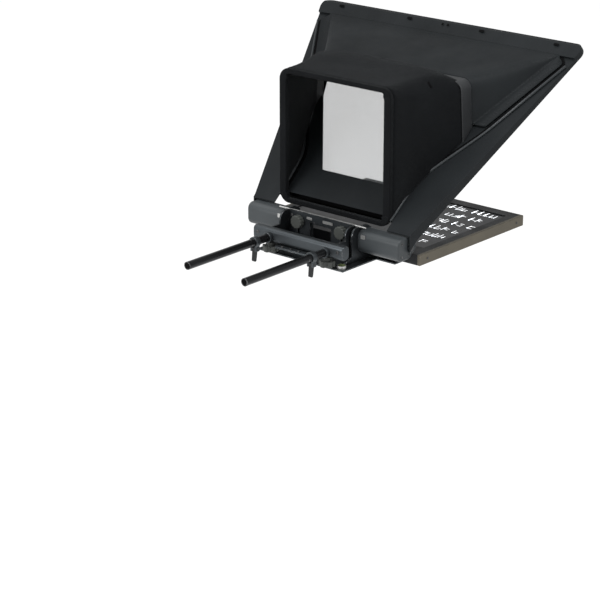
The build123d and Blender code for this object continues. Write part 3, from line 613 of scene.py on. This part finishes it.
def strip_along(name, path, width, height, slot, look):
    """Half-round moulding along a path on the hood skin."""
    count = 9
    verts, faces = [], []
    for index, point in enumerate(path):
        ahead = path[min(index + 1, len(path) - 1)] - path[max(index - 1, 0)]
        across = ahead.cross(SKIN_UP).normalized()
        for k in range(count):
            a = math.pi * k / (count - 1)
            rise = height * math.sin(a) ** 0.7 if 0 < k < count - 1 else -0.0004
            verts.append(tuple(point + across * width / 2 * math.cos(a) + SKIN_UP * rise))
    for i in range(len(path) - 1):
        for k in range(count):
            n = (k + 1) % count
            faces.append((i * count + k, i * count + n, (i + 1) * count + n, (i + 1) * count + k))
    faces.append(tuple(range(count - 1, -1, -1)))
    faces.append(tuple((len(path) - 1) * count + k for k in range(count)))
    return add_piece(name, verts, faces, slot, "hood", look=look)


# Right-hand paths in plan (x, y), from the hem up to the raised band.
SEAM = (
    (0.163, 0.414), (0.164, 0.456), (0.168, 0.508), (0.214, 0.566),
    (0.2665, 0.628), (0.3705, 0.797), (0.352, 0.8135),
)
BEAD = (
    (0.1690, 0.414), (0.1705, 0.456), (0.1750, 0.508), (0.2200, 0.564),
    (0.2725, 0.627), (0.3765, 0.796),
)
BEND = 0.030
# A near-black strip laid along the seam between the funnel and the hood's skin: painted shade in the gap
# there.
SEAM_SHADE_WIDE, SEAM_SHADE_HIGH = 0.0090, 0.0014
BEAD_WIDE, BEAD_HIGH = 0.0060, 0.0050
seam_path = [on_skin(x, y) for x, y in SEAM]
loop = seam_path + [Vector((-p.x, p.y, p.z)) for p in reversed(seam_path)]
strip_along("skin_gasket", eased(loop, BEND), SEAM_SHADE_WIDE, SEAM_SHADE_HIGH, "rubber_black", "rubber_black")
for side, word in SIDES:
    path = eased([on_skin(side * x, y) for x, y in BEAD], BEND)
    # The beads are hood plastic, drawn in its lighter, glossier copy as a painted highlight along their tops.
    strip_along(word + "_skin_bead", path, BEAD_WIDE, BEAD_HIGH, "hood_plastic", "bead_highlight_plastic")


# ---------------------------------------------------------------- small plates
def plate(name, centre, size, slot, body, thick=0.0006, away=(0, -1, 0)):
    """Thin rounded plate on a face that looks along away."""
    mesh = bpy.data.meshes.new(name)
    bm = bmesh.new()
    out = Vector(away).normalized()
    up = (Vector((0, 0, 1)) - out * out.z).normalized()
    right = up.cross(out)
    radius = min(size) * 0.18
    ring = []
    for sx, sy, start in ((1, 1, 0), (-1, 1, 90), (-1, -1, 180), (1, -1, 270)):
        for step in range(5):
            a = math.radians(start + 22.5 * step)
            u = sx * (size[0] / 2 - radius) + radius * math.cos(a)
            v = sy * (size[1] / 2 - radius) + radius * math.sin(a)
            ring.append(bm.verts.new(Vector(centre) + right * u + up * v))
    face = bm.faces.new(ring)
    raised = bmesh.ops.extrude_face_region(bm, geom=[face])
    for vert in [g for g in raised["geom"] if isinstance(g, bmesh.types.BMVert)]:
        vert.co += out * thick
    bmesh.ops.recalc_face_normals(bm, faces=bm.faces)
    bm.to_mesh(mesh)
    bm.free()
    made = bpy.data.objects.new(name, mesh)
    bpy.context.scene.collection.objects.link(made)
    made.data.materials.append(LOOKS[slot])
    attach(made, body)
    return made


def front_of(node, gap=0.0):
    """The Y of a node's front face, less a small gap."""
    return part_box(node)[0].y - gap


FIT_GAP = 0.0001
LABEL_X, LABEL_Z = 0.1275, 0.0235
for side, word in SIDES:
    label_y = front_of(word + "_hinge_housing", FIT_GAP)
    plate(word + "_housing_label", (side * LABEL_X, label_y, LABEL_Z), (0.013, 0.010), "bare_alloy", "head")
SLIDE_MARK_Z = 0.036
mark_y = front_of("slide_plate", FIT_GAP)
plate("slide_index_plate", (0.022, mark_y, SLIDE_MARK_Z), (0.030, 0.007), "bare_alloy", "carriage")
plate("slide_scale_plate", (-0.034, mark_y, SLIDE_MARK_Z), (0.016, 0.006), "bare_alloy", "carriage")


LIP_RISE = 0.0022
LIP_X = (-0.326, -0.1095, -0.008, 0.008, 0.1095, 0.326)


def make_lip_pocket_shades():
    """Near-black plates round the screws along the hood's top edge, and a small pair between them: painted
    shade standing for the pockets there.
    """
    low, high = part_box("lip_screws")
    middle = (low + high) / 2
    for letter, x in zip("abcdef", LIP_X):
        wide = 0.005 if abs(x) < 0.05 else 0.014
        spot = Vector((x, middle.y, middle.z)) + SKIN_UP * LIP_RISE
        plate("lip_recess_" + letter, spot, (wide, 0.006), "rubber_black", "hood", 0.0006, SKIN_UP)


make_lip_pocket_shades()


def screw_heads(name, places, radius, rise, slot, body, away):
    """Domed heads with a hexagon socket."""
    out = Vector(away).normalized()
    right = out.orthogonal().normalized()
    up = out.cross(right)
    verts, faces = [], []
    rings = ((1.0, 0.0), (1.0, 0.55), (0.86, 0.9), (0.5, 1.0), (0.46, 1.0), (0.42, 0.35))
    count = 18
    for place in places:
        base = len(verts)
        for share, high in rings:
            for k in range(count):
                a = 2 * math.pi * k / count
                spoke = right * math.cos(a) + up * math.sin(a)
                verts.append(tuple(Vector(place) + spoke * radius * share + out * rise * high))
        for ring in range(len(rings) - 1):
            for k in range(count):
                n = (k + 1) % count
                a, b = base + ring * count, base + (ring + 1) * count
                faces.append((a + k, a + n, b + n, b + k))
        faces.append(tuple(base + (len(rings) - 1) * count + k for k in range(count)))
        faces.append(tuple(base + count - 1 - k for k in range(count)))
    return add_piece(name, verts, faces, slot, body, smooth=False)


HOUSING_MID_Y, HOUSING_MID_Z = 0.390, 0.009
for side, word in SIDES:
    low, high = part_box(word + "_hinge_housing")
    x = high.x if side > 0 else low.x
    places = [(x, HOUSING_MID_Y + dy, HOUSING_MID_Z + dz) for dy in (-0.013, 0.013) for dz in (-0.016, 0.016)]
    screw_heads(word + "_housing_screws", places, 0.0026, 0.0012, "screw_steel", "head", (side, 0, 0))
FRONT = (0, -1, 0)
slide_y, beam_y = front_of("slide_plate"), front_of("cross_beam")
places = [(x, slide_y, z) for x in (-0.088, 0.088) for z in (-0.020, 0.034)]
screw_heads("slide_plate_screws", places, 0.0034, 0.0018, "screw_steel", "carriage", FRONT)
places = [(x, beam_y, 0.006) for x in (-0.122, 0.122)]
screw_heads("beam_end_screws", places, 0.0040, 0.0020, "screw_steel", "carriage", FRONT)


STITCH_Y, STITCH_PITCH = 0.4165, 0.0045


def make_stitches():
    """A run of thread round the hem."""
    verts, faces = [], []

    def stitch(a, b, out, width=0.0007):
        along = (b - a).normalized()
        across = along.cross(out).normalized() * width / 2
        base = len(verts)
        for t, rise in ((0.0, 0.0), (0.3, 0.0005), (0.7, 0.0005), (1.0, 0.0)):
            p = a.lerp(b, t) + out * (rise + 0.0001)
            verts.extend([tuple(p - across), tuple(p + across)])
        for k in range(3):
            i = base + 2 * k
            faces.append((i, i + 1, i + 3, i + 2))

    ring = dense_ring(rounded_ring(RIM_HALF, RIM_FOOT, RIM_TOP, RIM_RADIUS, 10), STITCH_PITCH)
    back = Vector((0, STITCH_Y, 0))
    for (p, out), (q, _) in zip(ring, ring[1:] + ring[:1]):
        stitch(p.lerp(q, 0.18) + back, p.lerp(q, 0.72) + back, out)
    add_piece("hem_stitching", verts, faces, "rim_fabric", "hood", smooth=False)


make_stitches()
TAB_AWAY = Vector((0.75, 0.0, 0.66)).normalized()
TAB_DEPTH = 0.592
tab_spot = max(shroud_section(TAB_DEPTH, 220)[0], key=lambda point: point.dot(TAB_AWAY))
plate("shroud_tab", tab_spot - TAB_AWAY * MM, (0.011, 0.016), "rubber_black", "hood", 0.0022, TAB_AWAY)


# ---------------------------------------------------------------- prompt screen
PROMPT_FOOT = 0.040
PROMPT_INDENT_X, PROMPT_INDENT_Y = 0.105, 0.22
PROMPT_MARGIN = 0.022
LINE_PITCH, LETTER_HEIGHT, STROKE_WIDTH = 0.0520, 0.0265, 0.0026


def make_prompt():
    """Random short rounded strokes in lines, as stand-in text."""
    rng = random.Random(11)
    low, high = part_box("lcd_panel")
    right_edge = high.x - PROMPT_MARGIN
    z = high.z + 0.0002
    verts, faces = [], []

    def stroke(x0, y0, x1, y1, width):
        a, b = Vector((x0, y0, 0)), Vector((x1, y1, 0))
        d = (b - a).normalized()
        n = Vector((-d.y, d.x, 0)) * width / 2
        start = len(verts)
        ring = []
        for centre, turn in ((b, -90), (a, 90)):
            for step in range(7):
                ang = math.radians(turn + 180 * step / 6)
                ring.append(centre + d * width / 2 * math.cos(ang) + n * math.sin(ang))
        verts.extend((p.x, p.y, z) for p in ring)
        faces.append(tuple(range(start, start + len(ring))))

    height, width = LETTER_HEIGHT, STROKE_WIDTH
    y = low.y + PROMPT_FOOT
    while y < high.y - 0.030:
        x = low.x + 0.05 if y > low.y + PROMPT_INDENT_Y else PROMPT_INDENT_X
        while x < right_edge:
            for _ in range(rng.randint(2, 6)):
                w = rng.uniform(0.009, 0.014)
                kinds = rng.sample("lmtfbr", 3)
                if "l" in kinds:
                    stroke(x, y, x, y + height * 0.95, width)
                if "m" in kinds:
                    stroke(x, y + height * 0.62, x + w, y + height * 0.62, width)
                if "t" in kinds:
                    stroke(x + w, y + height * 0.05, x + w, y + height * 0.62, width)
                if "f" in kinds:
                    stroke(x, y, x + w, y, width)
                if "b" in kinds:
                    stroke(x + w * 0.5, y + height * 0.3, x + w, y + height * 0.3, width)
                if "r" in kinds:
                    stroke(x, y, x, y + height * 0.62, width)
                x += w + 0.0065
                if x > right_edge:
                    break
            x += 0.014
        y += LINE_PITCH
    add_piece("prompt_marks", verts, faces, "screen", "head", smooth=False, look="prompt_light")


make_prompt()

# ---------------------------------------------------------------- light and floor
scene = bpy.context.scene
scene.view_settings.view_transform = "Standard"
world = bpy.data.worlds.new("studio")
world.use_nodes = True
world.node_tree.nodes["Background"].inputs["Color"].default_value = (1.0, 1.0, 1.0, 1.0)
world.node_tree.nodes["Background"].inputs["Strength"].default_value = 0.6
scene.world = world


def soft_light(name, place, aim, size, power):
    data = bpy.data.lights.new(name, "AREA")
    data.shape = "RECTANGLE"
    data.size, data.size_y = size
    data.energy = power
    lamp = bpy.data.objects.new(name, data)
    scene.collection.objects.link(lamp)
    lamp.visible_camera = False
    lamp.location = place
    lamp.rotation_euler = (Vector(aim) - Vector(place)).to_track_quat("-Z", "Y").to_euler()


MIDDLE = (0.0, 0.55, 0.15)
soft_light("front_key", (-1.0, -3.2, 1.0), MIDDLE, (1.6, 1.4), 75)
soft_light("right_fill", (3.4, 0.4, 0.5), MIDDLE, (1.0, 1.6), 14)
soft_light("hood_side", (0.75, 0.30, 1.00), (0.35, 0.75, 0.36), (0.3, 0.3), 5)
sky = bpy.data.lights.new("overhead", "SUN")
sky.energy = 1.8
sky.angle = math.radians(70)
sky_lamp = bpy.data.objects.new("overhead", sky)
scene.collection.objects.link(sky_lamp)
sky_lamp.rotation_euler = (math.radians(12), math.radians(-14), 0)

FLOOR_HALF, FLOOR_Z = 30.0, -1.5
floor_mesh = bpy.data.meshes.new("floor")
corners = [(x * FLOOR_HALF, y * FLOOR_HALF, FLOOR_Z) for x, y in ((-1, -1), (1, -1), (1, 1), (-1, 1))]
floor_mesh.from_pydata(corners, [], [(0, 1, 2, 3)])
floor = bpy.data.objects.new("floor", floor_mesh)
scene.collection.objects.link(floor)
paper = bpy.data.materials.new("floor_paper")
paper.use_nodes = True
paper_shader = paper.node_tree.nodes["Principled BSDF"]
paper_shader.inputs["Base Color"].default_value = (0.9, 0.9, 0.9, 1.0)
paper_shader.inputs["Roughness"].default_value = 0.9
floor.data.materials.append(paper)

# ---------------------------------------------------------------- last update
bpy.context.view_layer.update()
